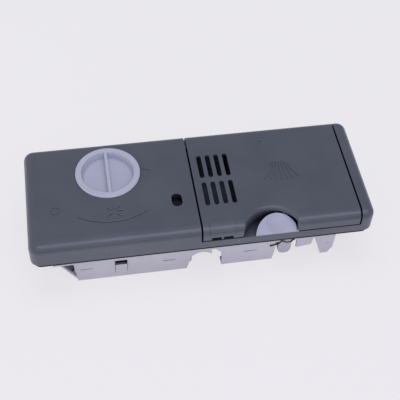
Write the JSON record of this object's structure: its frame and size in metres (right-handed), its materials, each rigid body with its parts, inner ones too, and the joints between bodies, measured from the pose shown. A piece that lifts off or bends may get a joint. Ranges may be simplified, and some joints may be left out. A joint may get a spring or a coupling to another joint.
{
  "type": "dishwasher detergent dispenser",
  "caption": "Dishwasher detergent and rinse-aid dispenser with a hinged lid, finger latch, slotted prewash area, bayonet filler cap and white rear clamp frame.",
  "frame": {"origin": "middle of the footprint on the resting plane, under the rear frame", "axes": "+X along the fascia from the filler cap to the detergent lid, +Y from the latch edge to the hinge edge, +Z out of the fascia"},
  "size_m": [0.2424, 0.0919, 0.0492],
  "materials": {
    "fascia_plastic": "fine spark-eroded moulding, dark slate grey",
    "lid_plastic": "fine spark-eroded moulding, dark slate grey",
    "rear_plastic": "plain off-white moulding",
    "tank_plastic": "plain off-white moulding, welded on",
    "gasket_rubber": "soft black seal",
    "lens_plastic": "smoked clear window",
    "pin_steel": "drawn stainless pin",
    "spring_steel": "drawn stainless wire",
    "clip_steel": "blackened spring clip",
    "seal_rubber": "black o-ring rubber",
    "case_plastic": "black moulding",
    "cover_plastic": "black moulding",
    "capsule_brass": "turned brass",
    "heater_ceramic": "dark ceramic disc",
    "terminal_metal": "tinned blades",
    "screw_steel": "zinc-plated steel",
    "wire_bronze": "tarnished spring wire",
    "lid_rubber": "grey soft seal",
    "cap_plastic": "pale blue-white moulding",
    "dial_plastic": "pale blue-white moulding",
    "button_plastic": "pale blue-white moulding",
    "lever_plastic": "natural acetal",
    "rod_plastic": "natural acetal",
    "piston_steel": "ground stainless rod"
  },
  "bodies": {
    "housing_body": {"front_housing": "fascia_plastic", "tank_cover": "tank_plastic", "clamp_frame": "rear_plastic", "door_gasket": "gasket_rubber", "level_lens": "lens_plastic", "hinge_pin": "pin_steel", "lid_spring": "spring_steel", "lever_pin": "pin_steel", "pivot_clip": "clip_steel", "gland_seal": "seal_rubber", "actuator_case": "case_plastic", "actuator_cover": "cover_plastic", "wax_capsule": "capsule_brass", "heater_disc": "heater_ceramic", "actuator_terminals": "terminal_metal", "actuator_screws": "screw_steel", "latch_spring": "wire_bronze"},
    "lid_body": {"lid": "lid_plastic", "lid_seal": "lid_rubber"},
    "cap_body": {"rinse_cap": "cap_plastic", "cap_seal": "seal_rubber"},
    "dial_body": {"dosage_dial": "dial_plastic", "dial_seal": "seal_rubber"},
    "latch_body": {"latch_button": "button_plastic"},
    "lever_body": {"release_lever": "lever_plastic"},
    "rod_body": {"dosing_rod": "rod_plastic", "piston_ring": "seal_rubber"},
    "actuator_body": {"actuator_piston": "piston_steel"}
  },
  "joints": [
    {"name": "lid_hinge", "type": "hinge", "parent": "housing_body", "child": "lid_body", "pos_m": [0.05395, 0.03873, 0.041], "axis": [-1, 0, 0], "range_deg": [0, 105], "deforming": ["lid_spring"]},
    {"name": "cap_turn", "type": "hinge", "parent": "housing_body", "child": "cap_body", "pos_m": [-0.06195, 0.01533, 0.045], "axis": [0, 0, 1], "range_deg": [0, 90]},
    {"name": "dial_turn", "type": "hinge", "parent": "housing_body", "child": "dial_body", "pos_m": [-0.06195, 0.01533, 0.0375], "axis": [0, 0, 1], "range_deg": [-120, 120]},
    {"name": "latch_slide", "type": "slide", "parent": "housing_body", "child": "latch_body", "axis": [-1, 0, 0], "range_m": [0, 0.004], "stiffness_N_per_m": 400, "springref_m": -0.003, "deforming": ["latch_spring"]},
    {"name": "lever_turn", "type": "hinge", "parent": "housing_body", "child": "lever_body", "pos_m": [0.05955, -0.00578, 0.0095], "axis": [0, 0, -1], "range_deg": [0, 8]},
    {"name": "rod_slide", "type": "slide", "parent": "housing_body", "child": "rod_body", "axis": [-1, 0, 0], "range_m": [0, 0.0028]},
    {"name": "actuator_slide", "type": "slide", "parent": "housing_body", "child": "actuator_body", "axis": [-1, 0, 0], "range_m": [0, 0.0015]}
  ],
  "couplings": [
    {"joint": "lever_turn", "follows": "latch_slide", "rad_per_m": 34},
    {"joint": "rod_slide", "follows": "latch_slide", "ratio": 0.68},
    {"joint": "actuator_slide", "follows": "latch_slide", "ratio": 0.36}
  ]
}
